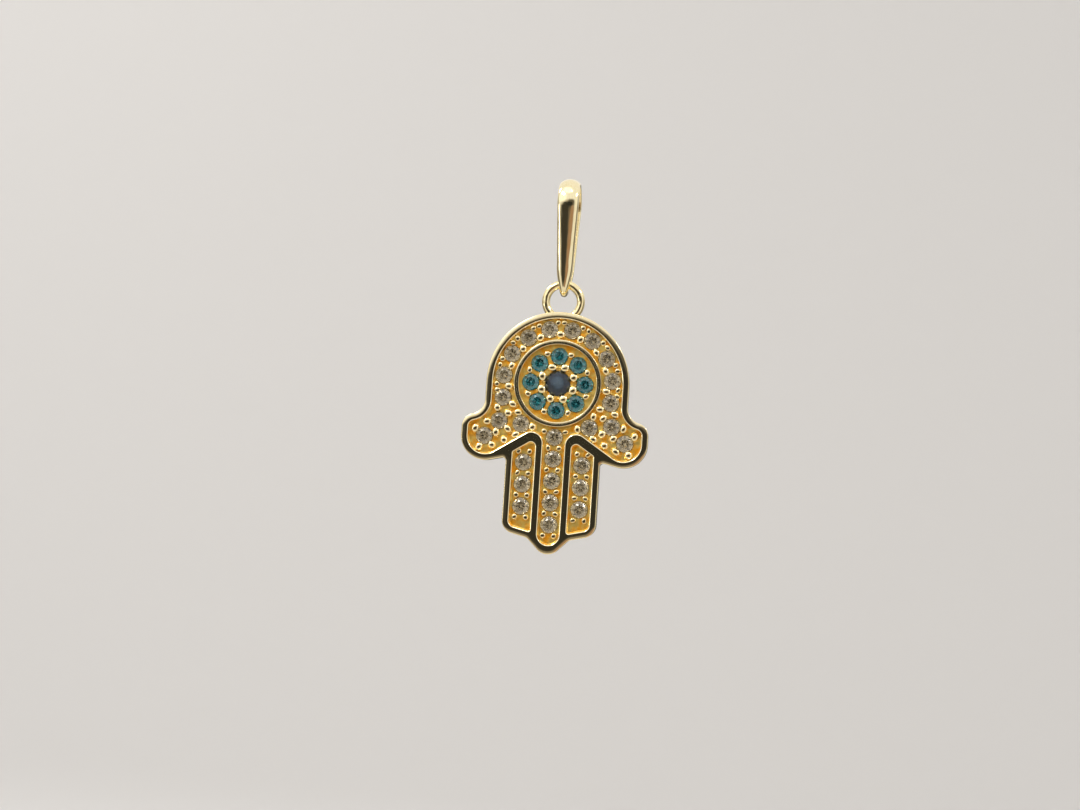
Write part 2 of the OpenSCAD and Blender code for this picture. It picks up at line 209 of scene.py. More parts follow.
# Each edge of the plate as [distance inwards, y]. It runs on a little into the flats beside it,
# so that they stay flat when it is shaded smooth. The outer corner is rolled, and the rim's
# crest falls off towards it. A field's edge is a narrow chamfer, a steep wall, and a fillet
# that is as satin as the field.
back_edge = [
    (0.09, plate_back), (0.08, plate_back), (0.045, plate_back - 0.01),
    (0.02, plate_back - 0.03), (0.005, plate_back - 0.06), (0, plate_back - 0.1),
]
corner_w, corner_h = 0.055, 0.07
crest_w, crest_fall = 0.27, 0.0256
front_edge = [
    (corner_w * (1 - math.cos(a)), plate_front + crest_fall + corner_h * (1 - math.sin(a)))
    for a in (math.radians(14 * k) for k in range(6))
] + [
    (crest_w - share * (crest_w - corner_w), plate_front + crest_fall * share * share)
    for share in (0.96, 0.8, 0.6, 0.4, 0.2, 0)
] + [(crest_w + 0.01, plate_front)]
field_edge = [
    (-0.03, plate_front), (-0.02, plate_front), (-0.012, plate_front + 0.002),
    (0.03, plate_front + 0.019), (0.039, plate_front + 0.029), (0.044, plate_front + 0.045),
    (0.047, plate_front + 0.07), (0.052, field_y - 0.1), (0.057, field_y - 0.062),
    (0.068, field_y - 0.029), (0.088, field_y - 0.008), (0.115, field_y), (0.12, field_y),
]
field_satin_steps = 3


def loop_of(bm, points, y):
    """A loop of vertices at one depth, through places in the hand."""
    return [bm.verts.new((eye.x + p.x, y, eye.z + p.y)) for p in points]


def bridge(bm, loops, slot=0, closed=False):
    """Joins each loop of vertices to the next with quads."""
    pairs = list(zip(loops, loops[1:])) + ([(loops[-1], loops[0])] if closed else [])
    for a, b in pairs:
        for k in range(len(a)):
            face = bm.faces.new((a[k - 1], a[k], b[k], b[k - 1]))
            face.material_index = slot


def fill(bm, loops, slot=POLISHED):
    """Fills the flat space inside the first loop and outside the others."""
    edges = [bm.edges.get((loop[k - 1], loop[k])) for loop in loops for k in range(len(loop))]
    made = bmesh.ops.triangle_fill(bm, edges=edges, use_beauty=True, normal=(0, -1, 0))
    for face in made["geom"]:
        if isinstance(face, bmesh.types.BMFace):
            face.material_index = slot


def edge_loops(bm, table, steps, satin_steps=0):
    """The loops of one edge of the plate, swept round an outline. Its last strips may be satin."""
    base = rounded(table)
    kept = [k for k, p in enumerate(base) if (p - base[k - 1]).length > same_place]
    loops = []
    for d, y in steps:
        points = rounded(inset(table, d))
        loops.append(loop_of(bm, [points[k] for k in kept], y))
    cut = len(loops) - satin_steps
    bridge(bm, loops[:cut], POLISHED)
    bridge(bm, loops[cut - 1:], SATIN)
    return loops


seat_r = 0.515
pupil_seat_r = 0.765
seat_apex_r = 0.02
seat_slope = 0.88
seat_sides = 32


def seat(bm, place, r):
    """A cone-shaped seat under a stone. The circle at its rim is left open for the field."""
    circle = [
        Vector((math.cos(a), math.sin(a)))
        for a in (math.tau * k / seat_sides for k in range(seat_sides))
    ]
    rings = []
    for share in (1, 0.5, seat_apex_r / r):
        depth = field_y + (1 - share) * r * seat_slope
        rings.append(loop_of(bm, [place + c * r * share for c in circle], depth))
    bridge(bm, rings, SATIN)
    bm.faces.new(rings[-1]).material_index = SATIN
    return rings[0]


def place_of(node):
    """A stone's place in the hand."""
    low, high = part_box(node)
    centre = (low + high) / 2 / MM
    return Vector((centre.x - eye.x, centre.z - eye.z))


white_nodes = sorted(n for n in frame["nodes"] if n.startswith("white_stone"))
blue_nodes = sorted(n for n in frame["nodes"] if n.startswith("blue_stone"))
white_places = [place_of(n) for n in white_nodes]
blue_places = [place_of(n) for n in blue_nodes]

plate = bmesh.new()
outer_loops = edge_loops(plate, outer_table, back_edge + front_edge)
palm_loops = edge_loops(plate, palm_table, field_edge, field_satin_steps)
finger_loops = [
    edge_loops(plate, table, field_edge, field_satin_steps) for table in (finger_table, other_finger_table)
]
fill(plate, [outer_loops[0]], BRUSHED)
fill(plate, [outer_loops[-1], palm_loops[0], finger_loops[0][0], finger_loops[1][0]])
in_fingers = [p for p in white_places if abs(p.x) > field_in and p.y < -thumb_root_drop]
in_palm = [p for p in white_places if p not in in_fingers] + blue_places
pupil_seat = seat(plate, Vector((0, 0)), pupil_seat_r)
palm_seats = [seat(plate, p, seat_r) for p in in_palm]
fill(plate, [palm_loops[-1], pupil_seat] + palm_seats, SATIN)
for loops, side in zip(finger_loops, (1, -1)):
    seats = [seat(plate, p, seat_r) for p in in_fingers if p.x * side > 0]
    fill(plate, [loops[-1]] + seats, SATIN)

# The eye's ring
# A raised gold ring round the eye, with upright walls and a polished, gently rounded top. It is
# part of the same casting as the plate.
eye_ring_r = 2.6
eye_ring_w = 0.29
eye_ring_dome = 0.08
eye_ring_crown = 0.012
eye_ring_edge_w = 0.022


def turned(bm, place, profile, segments, slot=POLISHED, ring=False, squash=Matrix.Identity(2)):
    """Turns a [radius, height above the fields] profile round the y axis at a place in the hand."""
    rings = []
    for r, height in profile:
        points = [
            place + squash @ Vector((math.cos(a), math.sin(a))) * r
            for a in (math.tau * k / segments for k in range(segments))
        ]
        rings.append(loop_of(bm, points, field_y - height))
    bridge(bm, rings, slot, closed=ring)
    if not ring:
        for end in (rings[0], rings[-1]):
            bm.faces.new(end).material_index = slot


ring_mid = eye_ring_r - eye_ring_w / 2
half_w = eye_ring_w / 2
wall_h = field_y - plate_front - eye_ring_dome
flat_w = half_w - eye_ring_edge_w

# Half of the ring's section, from its foot to its crown, as [distance from its middle, height]
half_ring = [(half_w + flare, h) for flare, h in ((0.014, -0.1), (0.009, 0.02), (0, 0.08))]
half_ring += [
    (
        half_w - eye_ring_edge_w * (1 - math.cos(a)),
        wall_h + (eye_ring_dome - eye_ring_crown) * math.sin(a),
    )
    for a in (math.radians(15 * k) for k in range(6))
]
half_ring += [
    (flat_w * x, wall_h + eye_ring_dome - eye_ring_crown * x * x) for x in (0.9, 0.6, 0.3)
]
other_half_ring = [(-x, h) for x, h in reversed(half_ring)]
ring_section = half_ring + [(0, wall_h + eye_ring_dome)] + other_half_ring
eye_ring = bmesh.new()
turned(eye_ring, Vector((0, 0)), [(ring_mid + x, h) for x, h in ring_section], segments=120, ring=True)

# The grains
# Beads of the same gold, raised from the fields with a graver and pushed over the stones' edges
# with a cup-shaped tool. Each comes out a little different in size, length and place.
arch_pitch = math.radians(24.1)
arch_pairs = 4
pupil_grain_d = 0.52
eye_grain_d = 0.36
palm_grain_d = 0.46
small_grain_d = 0.32
stone_r = 0.5
grain_reach = 0.21
eye_grain_out = 0.24
rim_grain_gap = 0.28
ring_grain_gap = 0.33
arch_grain_pitch = 0.38
finger_grain_pitch = 0.65
loose_grain_in, loose_grain_drop = 0.36, 1.13
grain_sink = 0.04

# How far a grain slips aside, the shares of its size and length that it comes out with, and
# how much of its width the tool squeezes off
grain_slip = 0.012
grain_sizes = (0.94, 1.05)
grain_lengths = (1.0, 1.14)
grain_squeeze = 0.04

# The white stones' numbers run along the arch, then through the pairs beside the eye, in the
# fork, at the webs and in the thumbs, each with its right stone second. Then come the middle
# finger's row and the pairs of the outer fingers.
side_stone, fork_stone, web_stone, thumb_stone = (white_places[k] for k in (9, 11, 13, 15))
channel_stones = white_places[16:21]
finger_stones = white_places[22:27:2]
pupil_r = (eye_high.x - eye_low.x) / 2 / MM
blue_row_r = max(p.y for p in blue_places)


def polar(r, a):
    """A place in the hand at an angle clockwise from straight up."""
    return Vector((math.sin(a), math.cos(a))) * r


def by_stone(stone, degrees):
    """The place of a grain at a stone's edge, at an angle anticlockwise from its right."""
    a = math.radians(degrees)
    return stone + Vector((math.cos(a), math.sin(a))) * (stone_r + grain_reach)


grain_places = []
for k in range(len(blue_places)):
    a = math.tau * (k + 0.5) / len(blue_places)
    grain_places.append((polar(pupil_r + pupil_grain_d / 2, a), pupil_grain_d))
    grain_places.append((polar(blue_row_r + eye_grain_out, a), eye_grain_d))
for k in range(-arch_pairs, arch_pairs + 1):
    a = k * arch_pitch
    outer = polar(arch_r - rim_w - rim_grain_gap, a)
    step = Vector((math.cos(a), -math.sin(a))) * arch_grain_pitch / 2
    grain_places += [(outer + step, small_grain_d), (outer - step, small_grain_d)]
    grain_places.append((polar(eye_ring_r + ring_grain_gap, a), palm_grain_d))
right_side = [
    by_stone(stone, degrees)
    for stone, angles in (
        (side_stone, (-65, -148)),
        (fork_stone, (137.5, -7, -78, -140)),
        (web_stone, (73, -170, -66)),
        (thumb_stone, (37, -68, -134)),
    )
    for degrees in angles
] + [fork_stone - Vector((loose_grain_in, loose_grain_drop))]
grain_places += [(Vector((p.x * side, p.y)), palm_grain_d) for p in right_side for side in (1, -1)]
first_grain = by_stone(channel_stones[0], 28)
grain_places += [(Vector((first_grain.x * side, first_grain.y)), small_grain_d) for side in (1, -1)]
for row, from_first, sides in ((channel_stones, 0, (1,)), (finger_stones, -1, (1, -1))):
    pitch = row[1] - row[0]
    for k in range(from_first, len(row)):
        for half in (-0.5, 0.5):
            p = row[0] + pitch * (k + 0.5) + Vector((half * finger_grain_pitch, 0))
            grain_places += [(Vector((p.x * side, p.y)), small_grain_d) for side in sides]


def grain_profile(r):
    """A round bead on a short flared foot, as [radius, height above the field]."""
    foot = [(1.22 * r, -grain_sink), (1.22 * r, 0.004), (1.1 * r, 0.03), (1.01 * r, 0.08 + 0.1 * r)]
    bead = [
        (r * math.cos(a), 0.1 + 0.1 * r + (0.9 * r - 0.1) * math.sin(a))
        for a in (math.radians(15 * k) for k in range(6))
    ]
    return foot + bead


hand_set = random.Random(7)
grains = []
for place, d in grain_places:
    r = d / 2 * hand_set.uniform(*grain_sizes)
    slip = Vector((hand_set.uniform(-1, 1), hand_set.uniform(-1, 1))) * grain_slip
    spin = Matrix.Rotation(hand_set.uniform(0, math.pi), 2)
    longer = hand_set.uniform(*grain_lengths)
    squash = spin @ Matrix(((longer, 0), (0, 2 - longer - grain_squeeze))) @ spin.transposed()
    grain = bmesh.new()
    turned(grain, place + slip, grain_profile(r), segments=20, slot=GRAIN, squash=squash)
    grains.append(grain)

# The soldered ring
# A ring of round gold wire, soldered upright into the top of the hand. It hangs on the bail.
ring_hole_r = 0.8
ring_wire_d = 0.49
ring_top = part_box("hand")[1].z / MM - eye.z
ring_centre = Vector((0, ring_top - ring_hole_r - ring_wire_d))
wire = [
    (ring_hole_r + ring_wire_d / 2 * (1 + math.cos(a)), field_y + ring_wire_d / 2 * math.sin(a))
    for a in (math.tau * k / 24 for k in range(24))
]
soldered_ring = bmesh.new()
turned(soldered_ring, ring_centre, wire, segments=96, slot=GRAIN, ring=True)

# The casting
# Plate, eye ring, grains and soldered ring are one piece of pale yellow gold. Its polish wavers
# a little and keeps fine marks, its back is brushed, and the sunk fields are satin. The fields'
# deep orange is painted reflection of the fields mirroring each other, and their pale patches
# are painted highlights.


def link(tree, source, target):
    tree.links.new(source, target)


def worked_gold_group():
    """The marks of casting and polishing, as a mask of tone, a roughness and two heights."""
    group = bpy.data.node_groups.new("worked_gold", "ShaderNodeTree")
    sockets = group.interface
    for name, value in (("Wave Scale", 1.2), ("Mark Scale", 14), ("Smooth", 0.06), ("Rough", 0.14)):
        made = sockets.new_socket(name, in_out="INPUT", socket_type="NodeSocketFloat")
        made.default_value = value
    sockets.new_socket("Per Metre", in_out="INPUT", socket_type="NodeSocketVector")
    for name in ("Tone", "Roughness", "Wave", "Marks"):
        sockets.new_socket(name, in_out="OUTPUT", socket_type="NodeSocketFloat")
    nodes = group.nodes
    inside, outside = nodes.new("NodeGroupInput"), nodes.new("NodeGroupOutput")
    place = nodes.new("ShaderNodeTexCoord")
    per_mm = nodes.new("ShaderNodeVectorMath")
    per_mm.operation = "MULTIPLY"
    link(group, place.outputs["Object"], per_mm.inputs[0])
    link(group, inside.outputs["Per Metre"], per_mm.inputs[1])
    wave, marks = nodes.new("ShaderNodeTexNoise"), nodes.new("ShaderNodeTexNoise")
    for noise, scale, detail in ((wave, "Wave Scale", 1), (marks, "Mark Scale", 5)):
        link(group, per_mm.outputs[0], noise.inputs["Vector"])
        link(group, inside.outputs[scale], noise.inputs["Scale"])
        noise.inputs["Detail"].default_value = detail
    tone, rough = nodes.new("ShaderNodeMapRange"), nodes.new("ShaderNodeMapRange")
    for spread, low, high in ((tone, 0.38, 0.62), (rough, 0.3, 0.75)):
        spread.inputs["From Min"].default_value = low
        spread.inputs["From Max"].default_value = high
        link(group, marks.outputs["Fac"], spread.inputs["Value"])
    link(group, inside.outputs["Smooth"], rough.inputs["To Min"])
    link(group, inside.outputs["Rough"], rough.inputs["To Max"])
    link(group, tone.outputs[0], outside.inputs["Tone"])
    link(group, rough.outputs[0], outside.inputs["Roughness"])
    link(group, wave.outputs["Fac"], outside.inputs["Wave"])
    link(group, marks.outputs["Fac"], outside.inputs["Marks"])
    return group


worked_gold = worked_gold_group()


def gold(name, pale, deep, rough, bumps, scales, axis_shares=(1, 1, 1)):
    """A finish of the gold. Its pairs are the least and most roughness, and the height in mm and
    the count per mm of its waves and of its marks. An axis share under 1 draws them out that way."""
    material = bpy.data.materials.new(name)
    material.use_nodes = True
    tree = material.node_tree
    shader = tree.nodes["Principled BSDF"]
    shader.inputs["Metallic"].default_value = 1
    work = tree.nodes.new("ShaderNodeGroup")
    work.node_tree = worked_gold
    for socket, value in zip(("Wave Scale", "Mark Scale", "Smooth", "Rough"), scales + rough):
        work.inputs[socket].default_value = value
    work.inputs["Per Metre"].default_value = Vector(axis_shares) / MM
    mix = tree.nodes.new("ShaderNodeMix")
    mix.data_type = "RGBA"
    link(tree, work.outputs["Tone"], mix.inputs["Factor"])
    mix.inputs["A"].default_value = (*pale, 1)
    mix.inputs["B"].default_value = (*deep, 1)
    link(tree, mix.outputs["Result"], shader.inputs["Base Color"])
    link(tree, work.outputs["Roughness"], shader.inputs["Roughness"])
    waves, marks = tree.nodes.new("ShaderNodeBump"), tree.nodes.new("ShaderNodeBump")
    for bump, height, distance in zip((waves, marks), ("Wave", "Marks"), bumps):
        bump.inputs["Strength"].default_value = 1
        bump.inputs["Distance"].default_value = distance * MM
        link(tree, work.outputs[height], bump.inputs["Height"])
    link(tree, waves.outputs["Normal"], marks.inputs["Normal"])
    link(tree, marks.outputs["Normal"], shader.inputs["Normal"])
    return material


polished_gold = gold(
    "polished_gold", (0.94, 0.82, 0.53), (0.90, 0.76, 0.45),
    rough=(0.04, 0.11), bumps=(0.006, 0.00015), scales=(1.2, 14),
)
# The satin's colours are painted light: its deep orange is painted reflection of gold in gold, and its
# pale patches, laid at random by noise, are painted highlights.
satin_gold_with_painted_light = gold(
    "satin_gold_with_painted_light", (1.0, 0.73, 0.20), (0.94, 0.43, 0.03),
    rough=(0.38, 0.58), bumps=(0.04, 0.006), scales=(2.6, 2.4),
)
grain_gold = gold(
    "grain_gold", (0.95, 0.83, 0.51), (0.92, 0.76, 0.41),
    rough=(0.05, 0.12), bumps=(0.016, 0.001), scales=(3, 9),
)
brushed_gold = gold(
    "brushed_gold", (0.95, 0.80, 0.44), (0.88, 0.68, 0.31),
    rough=(0.16, 0.34), bumps=(0.03, 0.002), scales=(0.35, 16), axis_shares=(0.06, 1, 1),
)


# After bodies are joined, points this near become one, and slivers this thin are taken out
merge_within = 0.0005
thinnest_sliver = 0.0001


def fused(bodies):
    """Joins closed bodies that overlap into one closed mesh, as the metal of a casting is."""
    whole_scene = bpy.context.scene.collection
    raised = bpy.data.collections.new("raised")
    whole_scene.children.link(raised)
    made = []
    for bm in bodies:
        bmesh.ops.recalc_face_normals(bm, faces=bm.faces)
        mesh = bpy.data.meshes.new("casting_part")
        bm.to_mesh(mesh)
        bm.free()
        home = raised if made else whole_scene
        made.append(bpy.data.objects.new("casting_part", mesh))
        home.objects.link(made[-1])
    fuse = made[0].modifiers.new("fuse", "BOOLEAN")
    fuse.operation = "UNION"
    fuse.solver = "MANIFOLD"
    fuse.operand_type = "COLLECTION"
    fuse.collection = raised
    one = bmesh.new()
    one.from_object(made[0], bpy.context.evaluated_depsgraph_get())
    bmesh.ops.remove_doubles(one, verts=one.verts, dist=merge_within)
    bmesh.ops.dissolve_degenerate(one, edges=one.edges, dist=thinnest_sliver)
    for part in made:
        bpy.data.meshes.remove(part.data)
    bpy.data.collections.remove(raised)
    return one


# An edge of the gold that turns by more than this is shaded sharp
sharp_turn = math.radians(38)


def gold_piece(bm, name, body, node, *finishes):
    """Makes a piece of a mesh in millimetres, which rides on a body and stands for a CAD node."""
    bmesh.ops.recalc_face_normals(bm, faces=bm.faces)
    mesh = bpy.data.meshes.new(name)
    bm.to_mesh(mesh)
    bm.free()
    mesh.transform(Matrix.Scale(MM, 4))
    mesh.shade_smooth()
    mesh.set_sharp_from_angle(angle=sharp_turn)
    made = bpy.data.objects.new(name, mesh)
    bpy.context.scene.collection.objects.link(made)
    for material in finishes:
        mesh.materials.append(material)
    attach(made, body)
    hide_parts(node)


casting = fused([plate, eye_ring, soldered_ring] + grains)
casting_finishes = (polished_gold, satin_gold_with_painted_light, grain_gold, brushed_gold)
gold_piece(casting, "hand_casting", "hand", "hand", *casting_finishes)

# The bail
# A closed loop of half-round gold band, wide and crowned at its head and drawn to a point, from
# which the hand hangs by its ring. The inside of the band is flat and left brushed.
bail_low, bail_high = (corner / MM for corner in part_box("bail"))
hinge_z = frame["joints"][0]["pos_m"][2] / MM
top_r = (bail_high.y - bail_low.y) / 2
top_z = bail_high.z - top_r
point_r = hinge_z - bail_low.z
bail_wall = 0.35
point_wall = 0.41
band_corner_r = 0.07
bail_w = bail_high.x - bail_low.x
waist_w = 0.94
waist_rise = 0.5
waist_z = hinge_z + waist_rise
tip_w = 0.3
lean = math.asin((top_r - point_r) / (top_z - hinge_z))

# The band's head: its height, and how much it is pinched and peaked at the very top
head_h = 0.9
head_pinch = 0.05
head_peak = 0.6

# Straight steps of the loop over its head, under its point and down each leg
head_steps, point_steps, leg_steps = 44, 24, 16


def teardrop(big, small):
    """The loop seen from its side, from the foot of one leg over the top and back to that foot."""
    over = [
        Vector((big * math.cos(a), top_z + big * math.sin(a)))
        for a in (-lean + (math.pi + 2 * lean) * k / head_steps for k in range(head_steps + 1))
    ]
    under = [
        Vector((small * math.cos(a), hinge_z + small * math.sin(a)))
        for a in (math.pi + lean + (math.pi - 2 * lean) * k / point_steps for k in range(point_steps + 1))
    ]
    down = [over[-1].lerp(under[0], k / leg_steps) for k in range(1, leg_steps)]
    up = [under[-1].lerp(over[0], k / leg_steps) for k in range(1, leg_steps)]
    return over + down + under + up


def straight_width(z):
    """The band's width at a height, with straight sides from tip to waist and on to the head."""
    if z > waist_z:
        return waist_w + (bail_w - waist_w) * min(1, (z - waist_z) / (top_z - waist_z))
    return waist_w + (tip_w - waist_w) * (waist_z - z) / (waist_z - bail_low.z)


def half_width(z):
    """Half the band's width, as the mean of four heights, which rounds the bends of its sides."""
    return sum(straight_width(z + d) for d in (-0.3, -0.1, 0.1, 0.3)) / 8


def band(w, t, peak):
    """Half-round section: flat inside with softened corners, crowned outside, or peaked over 1."""
    side = [
        (w - band_corner_r + band_corner_r * math.cos(a), band_corner_r + band_corner_r * math.sin(a))
        for a in (math.radians(-90 + 22.5 * k) for k in range(4))
    ]
    crown = [
        (w * math.cos(a), band_corner_r + (t - band_corner_r) * abs(math.sin(a)) ** peak)
        for a in (math.radians(7.5 * k) for k in range(25))
    ]
    return side + crown + [(-x, h) for x, h in reversed(side)]


bail = bmesh.new()
outer_line, inner_line = teardrop(top_r, point_r), teardrop(top_r - bail_wall, point_r - point_wall)
stations = []
for outside, inside in zip(outer_line, inner_line):
    reach = outside - inside
    near_top = max(0, 1 - (bail_high.z - outside.y) / head_h)
    w = half_width(inside.y) * (1 - head_pinch * near_top)
    station = []
    for x, h in band(w, reach.length, 1 + head_peak * near_top):
        p = inside + reach.normalized() * h
        station.append(bail.verts.new((x, p.x, p.y)))
    stations.append(station)
bridge(bail, stations, closed=True)

# The first face of each station is the flat inside, which takes the second finish
for face in list(bail.faces)[::len(stations[0])]:
    face.material_index = 1
bail_gold = gold(
    "bail_gold", (0.93, 0.83, 0.55), (0.90, 0.78, 0.47),
    rough=(0.04, 0.11), bumps=(0.016, 0.0004), scales=(3, 14), axis_shares=(1, 1, 0.12),
)
gold_piece(bail, "bail_band", "bail", "bail", bail_gold, brushed_gold)

# The white stones
# Round brilliants of 1 mm in colourless zirconia, a little cloudy inside. Their brown tint,
# darker in the clouds, is painted shade and painted reflection of the gold seats under them.
# They lie in their seats with their tables just under the rims, and the grains hold them.


def cut_stone(name, clear, cloudy, gleam, index, cloud_scale, wave_bump):
    """A cut stone's clear and cloudy tints, the colour of its surface's gleam, its refractive
    index, the count of clouds per mm, and the height in mm of the waver in its facets."""
    material = bpy.data.materials.new(name)
    material.use_nodes = True
    tree = material.node_tree
    shader = tree.nodes["Principled BSDF"]
    shader.inputs["Transmission Weight"].default_value = 1
    shader.inputs["IOR"].default_value = index
    shader.inputs["Specular Tint"].default_value = (*gleam, 1)
    place = tree.nodes.new("ShaderNodeTexCoord")
    clouds = tree.nodes.new("ShaderNodeTexNoise")
    clouds.inputs["Scale"].default_value = cloud_scale / MM
    clouds.inputs["Detail"].default_value = 3
    link(tree, place.outputs["Object"], clouds.inputs["Vector"])
    mask = tree.nodes.new("ShaderNodeMapRange")
    mask.inputs["From Min"].default_value = 0.35
    mask.inputs["From Max"].default_value = 0.65
    link(tree, clouds.outputs["Fac"], mask.inputs["Value"])
    mix = tree.nodes.new("ShaderNodeMix")
    mix.data_type = "RGBA"
    mix.inputs["A"].default_value = (*clear, 1)
    mix.inputs["B"].default_value = (*cloudy, 1)
    link(tree, mask.outputs[0], mix.inputs["Factor"])
    link(tree, mix.outputs["Result"], shader.inputs["Base Color"])
    rough = tree.nodes.new("ShaderNodeMapRange")
    rough.inputs["To Min"].default_value = 0.0
    rough.inputs["To Max"].default_value = 0.03
    link(tree, clouds.outputs["Fac"], rough.inputs["Value"])
    link(tree, rough.outputs[0], shader.inputs["Roughness"])
    bump = tree.nodes.new("ShaderNodeBump")
    bump.inputs["Strength"].default_value = 1
    bump.inputs["Distance"].default_value = wave_bump * MM
    link(tree, clouds.outputs["Fac"], bump.inputs["Height"])
    link(tree, bump.outputs["Normal"], shader.inputs["Normal"])
    return material


def dress(nodes, material):
    """Gives the stones of these nodes a material."""
    for name in nodes:
        slots = frame["nodes"][name].data.materials
        slots.clear()
        slots.append(material)


# The white stones' brown tints are painted shade and painted reflection of the gold seats, given to a
# colourless stone.
white_cut_painted_tint = cut_stone(
    "white_cut_painted_tint", clear=(0.62, 0.51, 0.32), cloudy=(0.32, 0.25, 0.14), gleam=(0.95, 0.9, 0.8),
    index=2.15, cloud_scale=3, wave_bump=0.012,
)
dress(white_nodes, white_cut_painted_tint)

# The blue stones
# Eight teal round brilliants of 1 mm in the same zirconia, in a circle round the middle of the
# eye. The large grains inside the circle and the small ones in its gaps hold them.
teal_cut = cut_stone(
    "teal_cut", clear=(0.025, 0.23, 0.25), cloudy=(0.01, 0.12, 0.15), gleam=(0.7, 0.9, 0.92),
    index=2.15, cloud_scale=1.8, wave_bump=0.012,
)
dress(blue_nodes, teal_cut)

# The centre stone
# A navy round brilliant of 1.5 mm in zirconia, the eye's pupil. It has a wider seat of its own,
# and eight large grains hold it.
navy_cut = cut_stone(
    "navy_cut", clear=(0.03, 0.05, 0.10), cloudy=(0.01, 0.025, 0.06), gleam=(0.35, 0.42, 0.55),
    index=2.15, cloud_scale=1.2, wave_bump=0.001,
)
dress(["centre_stone"], navy_cut)

# The stage
# A plain pale floor that lies far below the pendant and sweeps up behind it. The gold doesn't
# mirror it, and takes its reflections from the room alone.
floor_z, floor_front, floor_half_w = -0.15, -3.0, 3.0
wall_y, wall_top, sweep_r = 0.30, 0.6, 0.05
line = [Vector((floor_front, floor_z)), Vector((wall_y - sweep_r, floor_z))]
line += [
    Vector((wall_y - sweep_r + sweep_r * math.sin(a), floor_z + sweep_r - sweep_r * math.cos(a)))
    for a in (math.radians(7.5 * k) for k in range(1, 13))
]
line.append(Vector((wall_y, wall_top)))
sweep = bmesh.new()
rows = [[sweep.verts.new((x, p.x, p.y)) for p in line] for x in (-floor_half_w, floor_half_w)]
for k in range(len(line) - 1):
    face = sweep.faces.new((rows[0][k], rows[0][k + 1], rows[1][k + 1], rows[1][k]))
    face.smooth = True
floor_mesh = bpy.data.meshes.new("floor")
sweep.to_mesh(floor_mesh)
sweep.free()
floor = bpy.data.objects.new("floor", floor_mesh)
bpy.context.scene.collection.objects.link(floor)
floor.visible_glossy = False
paper = bpy.data.materials.new("floor_paper")
paper.use_nodes = True
paper_shader = paper.node_tree.nodes["Principled BSDF"]
paper_shader.inputs["Base Color"].default_value = (0.64, 0.628, 0.618, 1)
paper_shader.inputs["Roughness"].default_value = 0.9
floor_mesh.materials.append(paper)

# The light
# A pale room, which the polished gold mirrors: bright ovals above and beside it, dim sides and
# back, half shade in front, and a dark gap round the camera. Two soft boxes light the pendant,
# and a third lights the wall behind it.
world = bpy.data.worlds.new("studio")
bpy.context.scene.world = world
world.use_nodes = True
tree = world.node_tree
tree.nodes.clear()


def maths(operation, *values):
    """A maths node of the room, whose inputs are numbers or other nodes' outputs."""
    node = tree.nodes.new("ShaderNodeMath")
    node.operation = operation
    for socket, value in zip(node.inputs, values):
        if isinstance(value, (int, float)):
            socket.default_value = value
        else:
            link(tree, value, socket)
    return node.outputs[0]


def smooth_mask(value, inner, outer):
    """1 where the value is under inner, 0 where it is over outer."""
    node = tree.nodes.new("ShaderNodeMapRange")
    node.interpolation_type = "SMOOTHSTEP"
    link(tree, value, node.inputs["Value"])
    node.inputs["From Min"].default_value = inner
    node.inputs["From Max"].default_value = outer
    node.inputs["To Min"].default_value = 1
    node.inputs["To Max"].default_value = 0
    return node.outputs[0]


def blended(mask, below, above):
    """A colour, with another over it where the mask is 1."""
    node = tree.nodes.new("ShaderNodeMix")
    node.data_type = "RGBA"
    link(tree, mask, node.inputs["Factor"])
    for socket, value in (("A", below), ("B", above)):
        if isinstance(value, tuple):
            node.inputs[socket].default_value = (*value, 1)
        else:
            link(tree, value, node.inputs[socket])
    return node.outputs["Result"]


way = tree.nodes.new("ShaderNodeTexCoord")
split = tree.nodes.new("ShaderNodeSeparateXYZ")
link(tree, way.outputs["Generated"], split.inputs[0])
across, away, up = split.outputs
around = maths("ARCTAN2", across, maths("MULTIPLY", away, -1))
rise = maths("ARCSINE", up)


def patch(around_mid, rise_mid, around_half, rise_half, soft):
    """A mask that is 1 inside a soft-edged oval of the room, in degrees from the front."""
    a = maths("DIVIDE", maths("SUBTRACT", around, math.radians(around_mid)), math.radians(around_half))
    b = maths("DIVIDE", maths("SUBTRACT", rise, math.radians(rise_mid)), math.radians(rise_half))
    cubes = [maths("POWER", maths("ABSOLUTE", d), 3) for d in (a, b)]
    far = maths("POWER", maths("ADD", *cubes), 1 / 3)
    return smooth_mask(far, 1 - soft, 1 + soft)


ceiling_light, floor_light = (1.0, 0.98, 0.95), (0.86, 0.80, 0.72)
plain_backdrop = (0.69, 0.67, 0.645)

# Soft-edged ovals of light and shade, each laid over those before it, as
# [degrees to the right, degrees up, half width, half height, softness, colour]
bright_ovals = [
    (-20, 62, 45, 14, 0.4, (1.6, 1.57, 1.52)),
    (-42, 26, 26, 18, 0.3, (1.35, 1.32, 1.26)),
    (-32, 40, 5, 5, 0.5, (10, 10, 10)),
    (58, 34, 4, 4, 0.5, (8, 8, 8)),
    (-66, -4, 4, 4, 0.5, (6, 6, 6)),
    (12, 58, 4, 4, 0.5, (8, 8, 8)),
]
dim_back_and_sides = [
    (180, -14, 55, 22, 0.7, (0.13, 0.115, 0.09)),
    (-180, -14, 55, 22, 0.7, (0.13, 0.115, 0.09)),
    (-96, -12, 18, 32, 0.6, (0.17, 0.15, 0.12)),
    (96, -8, 18, 32, 0.6, (0.17, 0.15, 0.12)),
]
half_shade_in_front = [
    (8, 4, 28, 12, 0.6, (0.33, 0.285, 0.23)),
    (-8, -12, 34, 18, 0.5, (0.26, 0.225, 0.18)),
    (21, -20, 14, 15, 0.3, (0.40, 0.25, 0.16)),
]
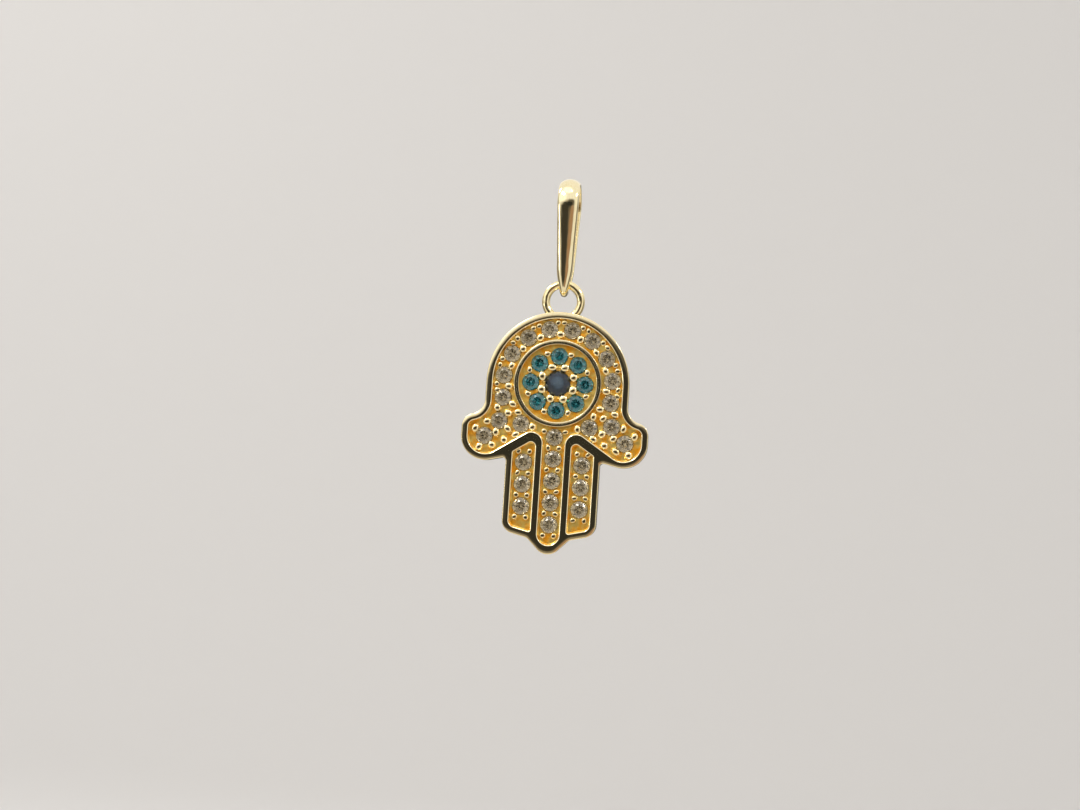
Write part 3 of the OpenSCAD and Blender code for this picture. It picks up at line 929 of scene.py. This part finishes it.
dark_gap = [
    (-3.5, 0, 27.5, 7.9, 0.12, (0.062, 0.060, 0.052)),
    (14, 7.5, 15, 12, 0.45, (0.12, 0.108, 0.09)),
    (-17, -8.5, 25, 6.5, 0.35, (0.05, 0.045, 0.037)),
    (4, 1, 17, 7.4, 0.2, (0.034, 0.033, 0.029)),
]
spot_in_the_gap = [(-4.4, 4.0, 0.34, 0.34, 0.9, (1.9, 2.1, 2.0))]
ovals = bright_ovals + dim_back_and_sides + half_shade_in_front + dark_gap + spot_in_the_gap
low_part = smooth_mask(rise, math.radians(-40), math.radians(15))
room = blended(low_part, ceiling_light, floor_light)
for *oval, colour in ovals:
    room = blended(patch(*oval), room, colour)
light_path = tree.nodes.new("ShaderNodeLightPath")
room = blended(light_path.outputs["Is Camera Ray"], room, plain_backdrop)
glow = tree.nodes.new("ShaderNodeBackground")
link(tree, room, glow.inputs["Color"])
glow.inputs["Strength"].default_value = 1.0
link(tree, glow.outputs[0], tree.nodes.new("ShaderNodeOutputWorld").inputs["Surface"])

centre = Vector(cad_low).lerp(Vector(cad_high), 0.5)
wall_middle = Vector((-0.12, wall_y, 0.08))
for name, place, size, power, colour, target in (
    ("soft_box_left", (-0.16, -0.14, 0.20), 0.05, 0.16, (1.0, 0.98, 0.95), centre),
    ("soft_box_right", (0.20, -0.08, 0.16), 0.04, 0.08, (1.0, 0.97, 0.93), centre),
    ("wall_light", (-0.30, 0.02, 0.28), 0.12, 0.35, (1.0, 0.99, 0.97), wall_middle),
):
    light = bpy.data.lights.new(name, "AREA")
    light.size = size
    light.energy = power
    light.color = colour
    lamp = bpy.data.objects.new(name, light)
    lamp.location = place
    lamp.rotation_euler = (target - Vector(place)).to_track_quat("-Z", "Y").to_euler()
    bpy.context.scene.collection.objects.link(lamp)

bpy.context.scene.view_settings.view_transform = "Standard"

# The camera
# It looks a little from the right and from below, turned so that the pendant leans as it hangs.
# Its distance and aim come from the photo's scale and from where the eye is in it.
from_right, from_below = math.radians(5), math.radians(3)
photo_mm_per_px = 1 / 16.8
photo_w, photo_h = 1080, 810
photo_eye = (558.1, 383.8)
lean_in_photo = math.radians(3.7)
camera_data = bpy.data.cameras.new("camera")
camera_data.lens = 50
camera_data.sensor_width = 36
camera_data.clip_start = 0.001
camera = bpy.data.objects.new("camera", camera_data)
bpy.context.scene.collection.objects.link(camera)
bpy.context.scene.camera = camera
distance = photo_w * photo_mm_per_px * MM * camera_data.lens / camera_data.sensor_width
back = Vector((
    math.sin(from_right) * math.cos(from_below),
    -math.cos(from_right) * math.cos(from_below),
    -math.sin(from_below),
))
turned_view = back.to_track_quat("Z", "Y") @ Matrix.Rotation(lean_in_photo, 3, "Z").to_quaternion()
right, upward = turned_view @ Vector((1, 0, 0)), turned_view @ Vector((0, 1, 0))
aim = eye * MM
aim -= right * (photo_eye[0] - photo_w / 2) * photo_mm_per_px * MM
aim += upward * (photo_eye[1] - photo_h / 2) * photo_mm_per_px * MM
camera.location = aim + back * distance
camera.rotation_euler = turned_view.to_euler()
